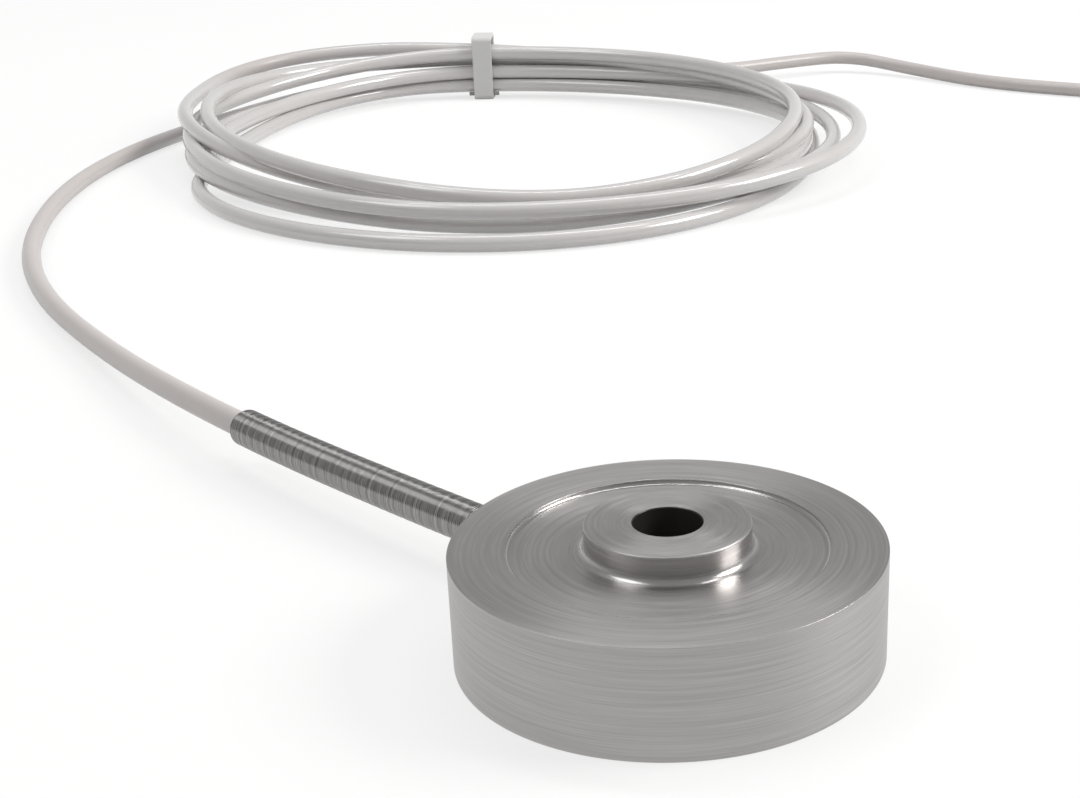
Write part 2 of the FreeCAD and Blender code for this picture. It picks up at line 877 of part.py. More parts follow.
def make_resistor(index):
    """Trimming resistor that sets the bridge's zero and span."""
    angle = size("exit_angle") + 180.0
    angle += (index - (RESISTOR_COUNT - 1) / 2) * size("resistor_spread")
    chip = doc.addObject("Part::Box", "resistor_chip_%d" % index)
    chip.setExpression("Length", bind("resistor_width"))
    chip.setExpression("Width", bind("resistor_length"))
    chip.setExpression("Height", bind("resistor_height"))
    doc.recompute()
    soft = size("resistor_corner")
    piece = doc.addObject("Part::Chamfer", "trim_resistor_%d" % (index + 1))
    piece.Base = chip
    upright = [n for n, e in enumerate(chip.Shape.Edges, start=1)
               if abs(e.tangentAt(e.FirstParameter).z) > 0.9]
    piece.Edges = [(number, soft, soft) for number in upright]
    place = radial(size("resistor_place - resistor_width / 2"), size("board_seat_height"),
                   -size("resistor_length") / 2, angle)
    piece.Placement = Placement(place, Rotation(Vector(0, 0, 1), angle))
    keep(piece, "trim_resistor_%d" % (index + 1))


def check_model():
    """Stop before anything is written if a piece or feature has failed."""
    doc.recompute()
    for item in doc.Objects:
        if "Invalid" in item.State or "Error" in item.State:
            raise ValueError("failed object: " + item.Label)
    for item in nodes:
        if item.Shape.isNull() or not item.Shape.isValid():
            raise ValueError("bad shape: " + item.Label)
        if len(item.Shape.Solids) != 1:
            raise ValueError("not one solid: " + item.Label)


def main():
    make_sensor_body()
    make_base_cover()
    make_seal_ring()
    make_circuit_board()
    make_crimp_sleeve()
    for index in range(GAUGE_COUNT):
        make_gauge_carrier(index)
        make_gauge_grid(index)
        make_gauge_wires(index)
    for index in range(RESISTOR_COUNT):
        make_resistor(index)
    make_core_wires()
    make_cable_lead()
    make_relief_spring()
    make_cable_coil()
    make_coil_tie()
    make_tie_lock_pin()
    make_cable_tail()
    make_end_sleeve()
    make_end_lead("end_lead_red", "end_lead_radius", -1, 1)
    make_end_lead("end_lead_black", "end_lead_radius", 1, 1)
    make_end_lead("end_lead_green", "end_lead_radius", -1, -1)
    make_end_lead("end_lead_white", "end_lead_radius", 1, -1)
    make_end_lead("screen_lead", "screen_radius", 0, 0)
    check_model()
    os.makedirs("parts", exist_ok=True)
    for item in nodes:
        item.Shape.exportStep("parts/" + item.Label + ".step")
        print("%-18s %10.3f mm3" % (item.Label, item.Shape.Volume))


main()
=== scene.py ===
import math

import bmesh
import bpy
from bpy.props import FloatProperty, FloatVectorProperty, IntProperty, PointerProperty
from mathutils import Matrix, Vector


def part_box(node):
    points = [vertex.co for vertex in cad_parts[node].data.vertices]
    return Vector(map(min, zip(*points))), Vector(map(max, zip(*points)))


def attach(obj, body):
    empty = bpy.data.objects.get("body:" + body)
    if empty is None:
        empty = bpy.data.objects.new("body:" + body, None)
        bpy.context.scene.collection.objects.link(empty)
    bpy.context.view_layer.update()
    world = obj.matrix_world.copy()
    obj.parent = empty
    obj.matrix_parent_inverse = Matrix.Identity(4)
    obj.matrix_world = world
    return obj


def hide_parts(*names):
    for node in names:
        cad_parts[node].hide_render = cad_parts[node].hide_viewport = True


bl_info = {
    "name": "Compression Load Cell",
    "version": (1, 0, 0),
    "blender": (4, 5, 0),
    "location": "View3D > Sidebar > Load Cell",
    "description": "Builds a button load cell with its sprung cable, tied coil and studio",
    "category": "Object",
}

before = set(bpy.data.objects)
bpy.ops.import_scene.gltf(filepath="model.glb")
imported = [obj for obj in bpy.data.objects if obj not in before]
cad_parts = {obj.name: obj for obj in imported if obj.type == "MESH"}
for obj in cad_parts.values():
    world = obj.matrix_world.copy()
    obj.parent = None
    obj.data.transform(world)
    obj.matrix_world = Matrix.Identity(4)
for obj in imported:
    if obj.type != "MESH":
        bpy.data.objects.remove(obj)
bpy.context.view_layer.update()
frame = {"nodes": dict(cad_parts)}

MM = 0.001
BODY = "root"


# Sizes and colours that a user may change


class LoadCellSizes(bpy.types.PropertyGroup):
    lathe_steps: IntProperty(
        name="Lathe steps", description="Facets round the turned disc", default=240, min=32)
    button_fillet: FloatProperty(
        name="Button fillet", description="Radius where the load button meets the membrane",
        default=0.8 * MM, min=0.0, unit="LENGTH", precision=5)
    recess_fillet: FloatProperty(
        name="Recess fillet", description="Radius at the foot of the recess wall",
        default=0.35 * MM, min=0.0, unit="LENGTH", precision=5)
    edge_break: FloatProperty(
        name="Edge break", description="Radius on the disc's sharp outer edges",
        default=0.15 * MM, min=0.0, unit="LENGTH", precision=5)
    cable_diameter: FloatProperty(
        name="Cable diameter", description="Outside of the cable's jacket",
        default=3.0 * MM, min=0.001, unit="LENGTH", precision=5)
    spring_diameter: FloatProperty(
        name="Spring diameter", description="Outside of the bend relief spring",
        default=4.4 * MM, min=0.001, unit="LENGTH", precision=5)
    winding_pitch: FloatProperty(
        name="Winding pitch", description="Distance from one winding to the next",
        default=0.28 * MM, min=0.0001, unit="LENGTH", precision=5)
    winding_steps: IntProperty(
        name="Winding steps", description="Points in one winding of the spring", default=40, min=8)
    turn_steps: IntProperty(
        name="Turn steps", description="Route points in one turn of the coil", default=24, min=12)
    tie_edge: FloatProperty(
        name="Tie edge", description="Softened edge of the coil's tie",
        default=0.12 * MM, min=0.0, unit="LENGTH", precision=5)


def colour_setting(name, description, rgb):
    return FloatVectorProperty(name=name, description=description, subtype="COLOR", size=3,
                               min=0.0, max=1.0, default=rgb)


class LoadCellColours(bpy.types.PropertyGroup):
    steel: colour_setting("Steel", "Turned stainless steel", (0.49, 0.476, 0.47))
    spring: colour_setting("Spring", "Drawn wire of the spring", (0.33, 0.325, 0.317))
    jacket: colour_setting("Jacket", "Cable jacket", (0.69, 0.669, 0.661))
    tie: colour_setting("Tie", "Nylon of the coil's tie", (0.76, 0.757, 0.755))
    floor: colour_setting("Floor", "Studio floor", (0.62, 0.62, 0.62))


def sizes():
    return bpy.context.scene.load_cell_sizes


def colours():
    return bpy.context.scene.load_cell_colours


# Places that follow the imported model


def low(node):
    return Vector(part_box(node)[0])


def high(node):
    return Vector(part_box(node)[1])


EXIT_ANGLE = math.radians(138.0)
EXIT_HEIGHT = 4.84 * MM
OUTWARD = Vector((math.cos(EXIT_ANGLE), math.sin(EXIT_ANGLE), 0.0))
OUTER_RADIUS = high("sensor_body").x
BUTTON_TOP = high("sensor_body").z
SPRING_FROM = 17.2 * MM
SPRING_TO = 68.8 * MM
JACKET_END = 12.6 * MM
COIL_MIDDLE = Vector((-25.0, 212.0, 5.0)) * MM
COIL_REACH = 79.5 * MM
STRIPPED_FROM = 28.5 * MM
# The wire's radius as a share of the pitch: windings overlap and only a fine groove shows
WIRE_FULLNESS = 1.1
TIE_THICKNESS = 0.85 * MM
TIE_OUTER_CORNER = 1.1 * MM
TIE_INNER_CORNER = 0.25 * MM

# Radii and heights of the turned body, in millimetres
BORE_RADIUS = 3.2
BUTTON_RADIUS = 7.65
CORE_RADIUS = 8.2
RECESS_RADIUS = 14.8
CHAMBER_RADIUS = 15.4
BOARD_SEAT_RADIUS = 15.8
COVER_SEAT_RADIUS = 16.6
CORE_LIFT = 0.35
COVER_SEAT_HEIGHT = 1.5
BOARD_SEAT_HEIGHT = 3.1
CHAMBER_ROOF = 8.35
RECESS_FLOOR = 10.25
RIM_TOP = 10.7
RIM_EDGE = 0.04
RECESS_EDGE = 0.05
PORT_RADIUS = 1.6
PORT_FROM = 12.3
SOCKET_RADIUS = 2.3
SHINE_FROM = 8.6
SHINE_TO = 12.0

CORE_COLOURS = {
    "red": (0.55, 0.03, 0.025),
    "black": (0.02, 0.02, 0.02),
    "green": (0.02, 0.26, 0.07),
    "white": (0.72, 0.72, 0.7),
}


# Materials


class Finish:
    """One node-based material and short ways to add to it."""

    def __init__(self, name, colour, roughness, metallic=0.0):
        self.material = bpy.data.materials.new(name)
        self.material.use_nodes = True
        tree = self.material.node_tree
        self.nodes = tree.nodes
        self.links = tree.links
        self.shader = self.nodes["Principled BSDF"]
        self.colour = (*colour[:3], 1.0)
        self.shader.inputs["Base Color"].default_value = self.colour
        self.shader.inputs["Roughness"].default_value = roughness
        self.shader.inputs["Metallic"].default_value = metallic
        self.place = self.nodes.new("ShaderNodeTexCoord").outputs["Object"]
        self.material.diffuse_color = self.colour

    def node(self, kind, **settings):
        made = self.nodes.new(kind)
        for key, value in settings.items():
            setattr(made, key, value)
        return made

    def join(self, start, end):
        self.links.new(start, end)

    def noise(self, scale, detail=2.0, stretch=(1.0, 1.0, 1.0)):
        """Noise over the object's own coordinates, in units of a millimetre."""
        mapping = self.node("ShaderNodeMapping")
        mapping.inputs["Scale"].default_value = [1000.0 * s for s in stretch]
        noise = self.node("ShaderNodeTexNoise")
        noise.inputs["Scale"].default_value = scale
        noise.inputs["Detail"].default_value = detail
        self.join(self.place, mapping.inputs["Vector"])
        self.join(mapping.outputs["Vector"], noise.inputs["Vector"])
        return noise.outputs["Fac"]

    def span(self, source, first, last, floor=0.0, ceiling=1.0):
        """Stretch a value between two limits."""
        remap = self.node("ShaderNodeMapRange")
        self.join(source, remap.inputs["Value"])
        remap.inputs["From Min"].default_value = floor
        remap.inputs["From Max"].default_value = ceiling
        remap.inputs["To Min"].default_value = first
        remap.inputs["To Max"].default_value = last
        return remap.outputs["Result"]

    def math(self, operation, first, second=None):
        made = self.node("ShaderNodeMath", operation=operation)
        for socket, value in zip(made.inputs, (first, second)):
            if value is None:
                continue
            if isinstance(value, (int, float)):
                socket.default_value = value
            else:
                self.join(value, socket)
        return made.outputs[0]

    def shade(self, source, darker, lighter=1.0):
        """Vary the base colour between two strengths of itself."""
        mix = self.node("ShaderNodeMix", data_type="RGBA")
        mix.inputs["A"].default_value = (*[c * darker for c in self.colour[:3]], 1.0)
        mix.inputs["B"].default_value = (*[min(1.0, c * lighter) for c in self.colour[:3]], 1.0)
        self.join(source, mix.inputs["Factor"])
        self.join(mix.outputs["Result"], self.shader.inputs["Base Color"])
        return mix.outputs["Result"]

    def blend(self, factor, first, colour, how="MIX"):
        """Paint the surface with a result that gives way to one flat colour."""
        mix = self.node("ShaderNodeMix", data_type="RGBA", blend_type=how)
        self.join(factor, mix.inputs["Factor"])
        self.join(first, mix.inputs["A"])
        mix.inputs["B"].default_value = (*colour, 1.0)
        self.join(mix.outputs["Result"], self.shader.inputs["Base Color"])

    def rough(self, source, first, last):
        self.join(self.span(source, first, last), self.shader.inputs["Roughness"])

    def bump(self, source, height, strength=1.0):
        bump = self.node("ShaderNodeBump")
        bump.inputs["Distance"].default_value = height
        bump.inputs["Strength"].default_value = strength
        self.join(source, bump.inputs["Height"])
        self.join(bump.outputs["Normal"], self.shader.inputs["Normal"])

    def value(self, name, number):
        self.shader.inputs[name].default_value = number


def lathe_rings(finish, axes, radius):
    """Fine rings about the disc's axis, on its faces and down its side."""
    feed = finish.math("ADD", radius, finish.math("MULTIPLY", axes.outputs["Z"], 1.7))
    angle = finish.math("ARCTAN2", axes.outputs["Y"], axes.outputs["X"])
    track = finish.node("ShaderNodeCombineXYZ")
    finish.join(finish.math("MULTIPLY", feed, 3600.0), track.inputs["X"])
    finish.join(finish.math("MULTIPLY", finish.math("ABSOLUTE", angle), 1.3), track.inputs["Y"])
    rings = finish.node("ShaderNodeTexNoise")
    finish.join(track.outputs["Vector"], rings.inputs["Vector"])
    rings.inputs["Scale"].default_value = 0.8
    rings.inputs["Detail"].default_value = 3.0
    rings.inputs["Roughness"].default_value = 0.7
    return rings.outputs["Fac"]


def polished_mask(finish, radius, height):
    """One on the button's side and foot and on the recess wall, nought on the flat faces."""
    foot = finish.span(radius, 1.0, 0.0, SHINE_FROM * MM, SHINE_TO * MM)
    below_top = finish.math("LESS_THAN", height, BUTTON_TOP - 0.2 * MM)
    wall = finish.math("COMPARE", radius, (RECESS_RADIUS - 0.15) * MM)
    wall.node.inputs[2].default_value = 0.25 * MM
    return finish.math("MAXIMUM", finish.math("MULTIPLY", foot, below_top), wall)


def turned_steel():
    """Stainless steel with the fine rings that a lathe tool leaves, and painted shade that darkens
    its bore to near black.
    """
    finish = Finish("turned_steel", colours().steel, 0.45, 1.0)
    axes = finish.node("ShaderNodeSeparateXYZ")
    finish.join(finish.place, axes.inputs["Vector"])
    square_x = finish.math("MULTIPLY", axes.outputs["X"], axes.outputs["X"])
    square_y = finish.math("MULTIPLY", axes.outputs["Y"], axes.outputs["Y"])
    radius = finish.math("SQRT", finish.math("ADD", square_x, square_y))
    rings = lathe_rings(finish, axes, radius)
    worn = finish.span(rings, 0.0, 1.0, 0.28, 0.72)
    # Painted shade: the bore's wall is painted near black and not metallic, for the shade inside the
    # deep hole.
    painted_dark_bore = finish.math("LESS_THAN", radius, (BORE_RADIUS + 0.1) * MM)
    finish.blend(painted_dark_bore, finish.shade(worn, 0.8, 1.14), (0.03, 0.027, 0.025))
    polished = finish.math("MAXIMUM", polished_mask(finish, radius, axes.outputs["Z"]), painted_dark_bore)
    matte = finish.math("SUBTRACT", 1.0, polished)
    coarse = finish.span(worn, 0.38, 0.46)
    finish.join(finish.math("ADD", finish.math("MULTIPLY", coarse, matte),
                            finish.math("MULTIPLY", polished, 0.25)),
                finish.shader.inputs["Roughness"])
    finish.join(finish.math("SUBTRACT", 1.0, painted_dark_bore), finish.shader.inputs["Metallic"])
    finish.bump(rings, 0.003 * MM, 0.3)
    finish.value("Anisotropic", 0.7)
    finish.value("Anisotropic Rotation", 0.25)
    around = finish.node("ShaderNodeTangent", direction_type="RADIAL", axis="Z")
    finish.join(around.outputs["Tangent"], finish.shader.inputs["Tangent"])
    return finish.material


def plain_steel(name, colour, roughness=0.34):
    """Rolled or cut steel with a faint cloudy grain."""
    finish = Finish(name, colour, roughness, 1.0)
    grain = finish.noise(1.6, 4.0)
    finish.shade(grain, 0.85, 1.08)
    finish.rough(grain, roughness * 0.8, roughness * 1.25)
    finish.bump(finish.noise(9.0, 2.0), 0.003 * MM, 0.4)
    return finish.material


def drawn_wire():
    """Bright spring wire, a little uneven from one winding to the next."""
    finish = Finish("drawn_wire", colours().spring, 0.28, 1.0)
    along = finish.node("ShaderNodeVectorMath", operation="DOT_PRODUCT")
    along.inputs[1].default_value = OUTWARD / MM
    finish.join(finish.place, along.inputs[0])
    bands = finish.node("ShaderNodeTexNoise", noise_dimensions="1D")
    finish.join(along.outputs["Value"], bands.inputs["W"])
    bands.inputs["Scale"].default_value = 2.4
    bands.inputs["Detail"].default_value = 4.0
    uneven = finish.span(bands.outputs["Fac"], 0.0, 1.0, 0.3, 0.7)
    finish.shade(uneven, 0.72, 1.12)
    finish.rough(uneven, 0.16, 0.24)
    finish.bump(finish.noise(3.0, 1.0), 0.002 * MM, 0.3)
    return finish.material


def jacket_plastic():
    """Smooth pale grey jacket, glossy in the coil and duller on the loose stretches beside it, with
    painted shade that darkens those stretches.
    """
    finish = Finish("jacket_plastic", colours().jacket, 0.36)
    cloud = finish.noise(0.12, 3.0)
    away = finish.node("ShaderNodeVectorMath", operation="DISTANCE")
    away.inputs[1].default_value = COIL_MIDDLE
    finish.join(finish.place, away.inputs[0])
    loose_shaded_and_dull = finish.span(away.outputs["Value"], 0.0, 1.0, COIL_REACH, COIL_REACH + 3.0 * MM)
    # Painted shade: the loose stretches are multiplied darker and warmer, though they are the same
    # cable as the coil.
    finish.blend(loose_shaded_and_dull, finish.shade(cloud, 0.96, 1.03), (0.9, 0.868, 0.856), "MULTIPLY")
    fine = finish.noise(4.0, 3.0)
    finish.rough(fine, 0.3, 0.42)
    finish.bump(fine, 0.004 * MM, 0.3)
    finish.join(finish.span(loose_shaded_and_dull, 1.0, 0.1), finish.shader.inputs["Coat Weight"])
    finish.value("IOR", 1.52)
    finish.value("Coat IOR", 1.7)
    finish.value("Coat Roughness", 0.08)
    return finish.material


def nylon(name, colour):
    """Moulded nylon with a fine matte grain."""
    finish = Finish(name, colour, 0.6)
    grain = finish.noise(7.0, 4.0)
    finish.shade(grain, 0.9, 1.05)
    finish.rough(grain, 0.52, 0.72)
    finish.bump(grain, 0.03 * MM, 0.6)
    return finish.material


def coloured_plastic(name, colour, roughness=0.4):
    """Insulation or cast plastic of one colour with a faint unevenness."""
    finish = Finish(name, colour, roughness)
    cloud = finish.noise(1.4, 3.0)
    finish.shade(cloud, 0.86, 1.1)
    finish.rough(cloud, roughness * 0.85, roughness * 1.2)
    finish.bump(finish.noise(6.0, 2.0), 0.006 * MM, 0.4)
    return finish.material


def end_insulation(name, colour):
    """Insulated conductor whose last stretch is stripped and tinned."""
    finish = Finish(name, colour, 0.38)
    start, heading = tail_end()
    offset = finish.node("ShaderNodeVectorMath", operation="SUBTRACT")
    offset.inputs[1].default_value = start
    finish.join(finish.place, offset.inputs[0])
    along = finish.node("ShaderNodeVectorMath", operation="DOT_PRODUCT")
    along.inputs[1].default_value = heading
    finish.join(offset.outputs["Vector"], along.inputs[0])
    bare = finish.math("GREATER_THAN", along.outputs["Value"], STRIPPED_FROM)
    finish.blend(bare, finish.shade(finish.noise(1.4, 3.0), 0.86, 1.1), (0.72, 0.72, 0.74))
    finish.join(bare, finish.shader.inputs["Metallic"])
    strands = finish.noise(2.5, 2.0, (0.3, 3.0, 3.0))
    finish.rough(strands, 0.3, 0.42)
    finish.bump(strands, 0.03 * MM, 0.5)
    return finish.material


def board_mask():
    """Green solder mask over copper tracks that run round the ring board."""
    finish = Finish("board_mask", (0.02, 0.17, 0.08), 0.32)
    wave = finish.node("ShaderNodeTexWave", wave_type="RINGS", rings_direction="Z")
    wave.inputs["Scale"].default_value = 330.0
    wave.inputs["Distortion"].default_value = 1.2
    wave.inputs["Detail"].default_value = 1.0
    finish.join(finish.place, wave.inputs["Vector"])
    tracks = finish.span(wave.outputs["Fac"], 0.0, 1.0, 0.45, 0.6)
    finish.shade(tracks, 0.75, 1.5)
    finish.rough(finish.noise(3.0, 3.0), 0.24, 0.4)
    finish.bump(tracks, 0.02 * MM, 0.6)
    finish.value("Coat Weight", 0.3)
    return finish.material


def gauge_film():
    """Amber polyimide film."""
    finish = Finish("gauge_film", (0.62, 0.33, 0.06), 0.3)
    cloud = finish.noise(0.9, 3.0)
    finish.shade(cloud, 0.82, 1.12)
    finish.rough(cloud, 0.22, 0.4)
    finish.bump(finish.noise(4.0, 2.0), 0.006 * MM, 0.4)
    finish.value("Coat Weight", 0.4)
    return finish.material


def seal_rubber():
    """Dark sealing compound with a pitted skin."""
    finish = Finish("seal_rubber", (0.035, 0.035, 0.04), 0.7)
    pits = finish.noise(3.5, 4.0)
    finish.shade(pits, 0.7, 1.4)
    finish.rough(pits, 0.6, 0.85)
    finish.bump(pits, 0.04 * MM, 0.6)
    return finish.material


def studio_floor():
    """Pale floor: white to the camera with the object's own soft shadow on it."""
    finish = Finish("studio_floor", colours().floor, 0.9)
    finish.value("Specular IOR Level", 0.0)
    paper = finish.shade(finish.noise(0.02, 2.0), 0.99, 1.01)
    light_path = finish.node("ShaderNodeLightPath")
    finish.blend(light_path.outputs["Is Camera Ray"], paper, (0.98, 0.98, 0.98))
    glow = finish.node("ShaderNodeEmission")
    glow.inputs["Strength"].default_value = 1.0
    seen_white = finish.math("MAXIMUM", light_path.outputs["Is Camera Ray"],
                             light_path.outputs["Is Glossy Ray"])
    share = finish.math("MULTIPLY", seen_white, 0.7)
    mixed = finish.node("ShaderNodeMixShader")
    finish.join(share, mixed.inputs["Fac"])
    finish.join(finish.shader.outputs["BSDF"], mixed.inputs[1])
    finish.join(glow.outputs["Emission"], mixed.inputs[2])
    output = finish.nodes["Material Output"]
    finish.join(mixed.outputs["Shader"], output.inputs["Surface"])
    return finish.material


# Mesh helpers


def link(obj):
    bpy.context.scene.collection.objects.link(obj)
    return obj


def mesh_object(name, bm, material, sharp=35.0):
    """New smooth-shaded piece from a bmesh, with its sharp edges kept."""
    mesh = bpy.data.meshes.new(name)
    bm.to_mesh(mesh)
    bm.free()
    return dress(link(bpy.data.objects.new(name, mesh)), material, sharp)


def dress(obj, material, sharp=35.0):
    mesh = obj.data
    mesh.polygons.foreach_set("use_smooth", [True] * len(mesh.polygons))
    mesh.set_sharp_from_angle(angle=math.radians(sharp))
    mesh.materials.clear()
    mesh.materials.append(material)
    return obj


def dress_node(node, material):
    """Give a CAD node its finish without touching its shape."""
    slots = frame["nodes"][node].material_slots
    if not slots:
        raise RuntimeError(node + " has no material slot")
    for slot in slots:
        slot.material = material


def place_piece(piece, slot, *nodes):
    """The piece rides on the body and stands for CAD nodes, which it hides; the slot argument is not
    used.
    """
    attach(piece, BODY)
    if nodes:
        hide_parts(*nodes)
    return piece


def rounded_profile(corners, steps=8):
    """Closed outline in a plane from (across, up, radius) corners."""
    outline = []
    count = len(corners)
    for index, (across, up, radius) in enumerate(corners):
        here = Vector((across, up))
        if radius <= 0.0:
            outline.append(here)
            continue
        before = Vector(corners[index - 1][:2]) - here
        after = Vector(corners[(index + 1) % count][:2]) - here
        before.normalize()
        after.normalize()
        half = before.angle(after) / 2.0
        reach = radius / math.tan(half)
        centre = here + (before + after).normalized() * (radius / math.sin(half))
        first = here + before * reach - centre
        last = here + after * reach - centre
        turn = first.angle_signed(last)
        for step in range(steps + 1):
            outline.append(centre + Matrix.Rotation(-turn * step / steps, 2) @ first)
    return outline


def lathe(outline, steps):
    """Solid of revolution about Z from a closed outline of (radius, height)."""
    bm = bmesh.new()
    rings = []
    for place in outline:
        ring = []
        for step in range(steps):
            angle = 2.0 * math.pi * step / steps
            ring.append(bm.verts.new((place.x * math.cos(angle), place.x * math.sin(angle), place.y)))
        rings.append(ring)
    for index, ring in enumerate(rings):
        following = rings[(index + 1) % len(rings)]
        for step in range(steps):
            other = (step + 1) % steps
            bm.faces.new((ring[step], ring[other], following[other], following[step]))
    bmesh.ops.recalc_face_normals(bm, faces=bm.faces)
    return bm


def drilled(obj, radius, start, finish):
    """Cut a radial hole through a piece along the cable's exit."""
    bm = bmesh.new()
    bmesh.ops.create_cone(bm, cap_ends=True, segments=48, radius1=radius, radius2=radius,
                          depth=finish - start)
    drill = link(bpy.data.objects.new("drill", bpy.data.meshes.new("drill")))
    bm.to_mesh(drill.data)
    bm.free()
    turn = OUTWARD.to_track_quat("Z", "Y").to_matrix().to_4x4()
    middle = OUTWARD * ((start + finish) / 2.0) + Vector((0.0, 0.0, EXIT_HEIGHT))
    drill.data.transform(Matrix.Translation(middle) @ turn)
    cut = obj.modifiers.new("cut", "BOOLEAN")
    cut.operation = "DIFFERENCE"
    cut.solver = "EXACT"
    cut.object = drill
    graph = bpy.context.evaluated_depsgraph_get()
    cut_mesh = bpy.data.meshes.new_from_object(obj.evaluated_get(graph))
    obj.modifiers.clear()
    old = obj.data
    obj.data = cut_mesh
    bpy.data.meshes.remove(old)
    bpy.data.objects.remove(drill)


# Cable route, in millimetres


# From the spring, down to the ground and round to the tie
LEAD = (
    (-55.5, 53.8, 4.3),
    (-76.6, 83.1, 2.1),
    (-95.8, 113.0, 1.55),
    (-107.6, 143.6, 1.55),
    (-113.0, 180.9, 1.55),
    (-109.7, 213.3, 1.55),
    (-98.5, 243.0, 1.55),
    (-76.0, 271.5, 3.4),
)
SPRING_CORNER = 43.9 * MM

# From the tie, down behind the coil and out to the stripped end
TAIL = (
    (-26.0, 276.0, 9.4),
    (-8.0, 275.5, 5.6),
    (12.0, 281.5, 3.6),
    (30.0, 293.0, 3.6),
    (45.0, 299.5, 3.7),
    (60.0, 289.5, 1.8),
    (74.0, 272.5, 1.55),
    (95.0, 259.5, 1.55),
    (120.0, 249.0, 1.55),
    (139.0, 231.0, 1.55),
    (149.0, 207.0, 1.55),
    (151.5, 181.0, 1.6),
    (150.0, 155.0, 2.1),
    (146.5, 131.0, 2.15),
)

# Where the strands pass under the tie, as (from front to back, height)
TIE_MIDDLE = (-43.1, 273.6)
TIE_SLOTS = (
    (1.4, 5.4),
    (1.4, 2.4),
    (-1.5, 3.0),
    (-1.5, 6.05),
    (-1.5, 10.4),
    (1.4, 8.5),
    (1.4, 11.5),
)

# Reach of each loose turn: right, front and left, as (x, y, height)
COIL_TURNS = (
    ((32.8, 207.6, 4.8), (-31.6, 147.8, 1.6), (-94.3, 208.0, 4.3)),
    ((29.3, 218.1, 1.55), (-31.6, 137.2, 1.55), (-89.3, 190.4, 1.55)),
    ((27.4, 208.3, 4.3), (-31.6, 154.7, 1.6), (-91.0, 205.0, 4.5)),
    ((37.4, 203.3, 7.5), (-31.6, 144.9, 4.8), (-97.6, 223.7, 6.0)),
    ((25.4, 211.0, 9.4), (-27.0, 152.4, 4.8), (-95.8, 232.0, 9.0)),
    ((27.6, 207.5, 7.0), (-31.6, 161.4, 1.8), (-99.8, 226.5, 9.2)),
)
# How each turn swells beyond (below 1) or draws in from (above 1) an ellipse
RIGHT_FULLNESS = 0.91
LEFT_FULLNESS = 1.08
BACK_FULLNESS = (1.0, 0.8, 1.0, 1.05, 1.0, 0.6)
# How late each turn changes height from the tie to the right, on to the front and on to the left
TIE_LIFT = 4.0
RIGHT_LIFT = (5.0, 2.0, 2.0, 2.0, 2.0, 2.0)
LEFT_LIFT = (1.0, 1.0, 1.0, 1.0, 0.85, 1.3)


def tie_slot(index):
    across, height = TIE_SLOTS[index]
    return Vector((TIE_MIDDLE[0], TIE_MIDDLE[1] + across, height))


def quarter_turn(start, end, sideways_first, steps, fullness=1.0, lift=2.0):
    """Points of a quarter ellipse, or a fuller curve, from one reach to the next."""
    points = []
    # Control points lie outside the curve that they draw by this much
    swell = 1.0 / math.cos(0.25 * math.pi / steps)
    for step in range(steps):
        angle = 0.5 * math.pi * (step + 0.5) / steps
        rise = math.sin(angle) ** fullness
        fall = math.cos(angle) ** fullness
        if sideways_first:
            across = start.x + (end.x - start.x) * rise * swell
            along = end.y + (start.y - end.y) * fall * swell
        else:
            across = end.x + (start.x - end.x) * fall * swell
            along = start.y + (end.y - start.y) * rise * swell
        height = start.z + (end.z - start.z) * math.sin(angle) ** lift
        points.append(Vector((across, along, height)))
    return points


def coil_points():
    """All turns of the coil, from the tie round by the right, front and left."""
    steps = sizes().turn_steps // 4
    points = []
    for index, reaches in enumerate(COIL_TURNS):
        right, front, left = (Vector(reach) for reach in reaches)
        points += quarter_turn(tie_slot(index), right, True, steps, lift=TIE_LIFT)
        points += quarter_turn(right, front, False, steps, RIGHT_FULLNESS, RIGHT_LIFT[index])
        points += quarter_turn(front, left, True, steps, LEFT_FULLNESS, LEFT_LIFT[index])
        points += quarter_turn(left, tie_slot(index + 1), False, steps, BACK_FULLNESS[index])
    return points


def route_points():
    inside = (OUTWARD * JACKET_END + Vector((0.0, 0.0, EXIT_HEIGHT))) / MM
    corner = (OUTWARD * SPRING_CORNER + Vector((0.0, 0.0, EXIT_HEIGHT))) / MM
    points = [inside, corner] + [Vector(p) for p in LEAD]
    points += coil_points() + [Vector(p) for p in TAIL]
    return [p * MM for p in points]


def tail_end():
    last = Vector(TAIL[-1]) * MM
    return last, (last - Vector(TAIL[-2]) * MM).normalized()


def route_curve(name):
    """The cable's own line: one smooth spline over the route's points."""
    curve = bpy.data.curves.new(name, "CURVE")
    curve.dimensions = "3D"
    curve.resolution_u = 8
    spline = curve.splines.new("NURBS")
    points = route_points()
    spline.points.add(len(points) - 1)
    for point, place in zip(spline.points, points):
        point.co = (*place, 1.0)
    spline.order_u = 3
    spline.use_endpoint_u = True
    return curve


def route_line():
    """Places along the smooth route, read from the spline itself."""
    helper = link(bpy.data.objects.new("route_line", route_curve("route_line")))
    mesh = bpy.data.meshes.new_from_object(helper)
    line = [v.co.copy() for v in mesh.vertices]
    bpy.data.objects.remove(helper)
    bpy.data.meshes.remove(mesh)
    return line


def walk(line, distances):
    """Place and heading at each distance along a line of points."""
    found = []
    index = 0
    walked = 0.0
    for distance in distances:
        while index < len(line) - 2 and walked + (line[index + 1] - line[index]).length < distance:
            walked += (line[index + 1] - line[index]).length
            index += 1
        leg = line[index + 1] - line[index]
        share = (distance - walked) / leg.length
        heading = leg.normalized()
        if index + 2 < len(line):
            heading = leg.normalized().lerp((line[index + 2] - line[index + 1]).normalized(), share)
        found.append((line[index] + leg * share, heading.normalized()))
    return found


# Pieces


